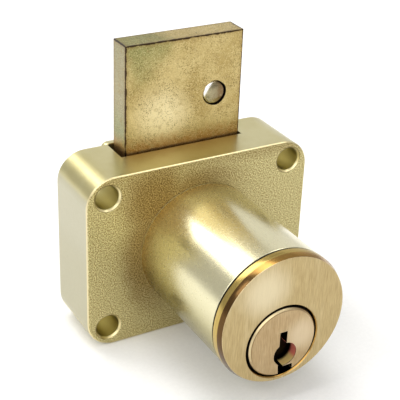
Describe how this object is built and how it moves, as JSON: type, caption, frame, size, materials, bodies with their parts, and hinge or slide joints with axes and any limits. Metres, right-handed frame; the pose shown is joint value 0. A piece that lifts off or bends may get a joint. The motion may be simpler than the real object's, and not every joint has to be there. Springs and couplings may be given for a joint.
{
  "type": "drawer deadbolt cam lock",
  "caption": "Surface-mounted drawer lock: a key-turned plug in a round barrel throws a flat deadbolt up out of a rectangular case by a crank.",
  "frame": {"origin": "rear face of the back cover, on the axis of the barrel", "axes": "+Z is the way the bolt is thrown, -Y is towards the key, +X is to the right as seen from the key side"},
  "size_m": [0.0414, 0.0397, 0.05],
  "materials": {
    "plated_brass": "satin brass finish on a cast body, grainy on the front",
    "solid_brass": "brushed and turned",
    "yellow_steel": "yellow passivated zinc plating",
    "steel": "plain turned steel",
    "spring_steel": "drawn wire"
  },
  "bodies": {
    "case": {"case": "plated_brass", "back_cover": "plated_brass", "cylinder_body": "solid_brass", "chamber_cap": "solid_brass", "cover_screw_1": "steel", "cover_screw_2": "steel", "cover_screw_3": "steel", "cover_screw_4": "steel", "cylinder_screw_1": "steel", "cylinder_screw_2": "steel", "pin_spring_1": "spring_steel", "pin_spring_2": "spring_steel", "pin_spring_3": "spring_steel", "pin_spring_4": "spring_steel", "pin_spring_5": "spring_steel"},
    "plug": {"plug": "solid_brass", "crank": "steel", "crank_pin": "steel", "crank_screw": "steel"},
    "bolt": {"bolt": "yellow_steel", "bolt_stud": "yellow_steel"},
    "key_pin_1": {"key_pin_1": "solid_brass"},
    "driver_pin_1": {"driver_pin_1": "steel"},
    "key_pin_2": {"key_pin_2": "solid_brass"},
    "driver_pin_2": {"driver_pin_2": "steel"},
    "key_pin_3": {"key_pin_3": "solid_brass"},
    "driver_pin_3": {"driver_pin_3": "steel"},
    "key_pin_4": {"key_pin_4": "solid_brass"},
    "driver_pin_4": {"driver_pin_4": "steel"},
    "key_pin_5": {"key_pin_5": "solid_brass"},
    "driver_pin_5": {"driver_pin_5": "steel"}
  },
  "joints": [
    {"name": "plug_turn", "type": "hinge", "parent": "case", "child": "plug", "pos_m": [0, -0.0263, -0.00395], "axis": [0, 1, 0], "range_deg": [0, 180]},
    {"name": "bolt_slide", "type": "slide", "parent": "case", "child": "bolt", "axis": [0, 0, 1], "range_m": [-0.012, 0]},
    {"name": "key_pin_1_drop", "type": "slide", "parent": "plug", "child": "key_pin_1", "axis": [0, 0, 1], "range_m": [-0.0014, 0]},
    {"name": "driver_pin_1_lift", "type": "slide", "parent": "case", "child": "driver_pin_1", "axis": [0, 0, 1], "range_m": [0, 0.0014], "stiffness_N_per_m": 300, "springref_m": -0.0015, "deforming": ["pin_spring_1"]},
    {"name": "key_pin_2_drop", "type": "slide", "parent": "plug", "child": "key_pin_2", "axis": [0, 0, 1], "range_m": [-0.0014, 0]},
    {"name": "driver_pin_2_lift", "type": "slide", "parent": "case", "child": "driver_pin_2", "axis": [0, 0, 1], "range_m": [0, 0.0014], "stiffness_N_per_m": 300, "springref_m": -0.0015, "deforming": ["pin_spring_2"]},
    {"name": "key_pin_3_drop", "type": "slide", "parent": "plug", "child": "key_pin_3", "axis": [0, 0, 1], "range_m": [-0.0014, 0]},
    {"name": "driver_pin_3_lift", "type": "slide", "parent": "case", "child": "driver_pin_3", "axis": [0, 0, 1], "range_m": [0, 0.0014], "stiffness_N_per_m": 300, "springref_m": -0.0015, "deforming": ["pin_spring_3"]},
    {"name": "key_pin_4_drop", "type": "slide", "parent": "plug", "child": "key_pin_4", "axis": [0, 0, 1], "range_m": [-0.0014, 0]},
    {"name": "driver_pin_4_lift", "type": "slide", "parent": "case", "child": "driver_pin_4", "axis": [0, 0, 1], "range_m": [0, 0.0014], "stiffness_N_per_m": 300, "springref_m": -0.0015, "deforming": ["pin_spring_4"]},
    {"name": "key_pin_5_drop", "type": "slide", "parent": "plug", "child": "key_pin_5", "axis": [0, 0, 1], "range_m": [-0.0014, 0]},
    {"name": "driver_pin_5_lift", "type": "slide", "parent": "case", "child": "driver_pin_5", "axis": [0, 0, 1], "range_m": [0, 0.0014], "stiffness_N_per_m": 300, "springref_m": -0.0015, "deforming": ["pin_spring_5"]}
  ],
  "couplings": [
    {"joint": "plug_turn", "follows": "bolt_slide", "rad_per_m": -261.8}
  ]
}
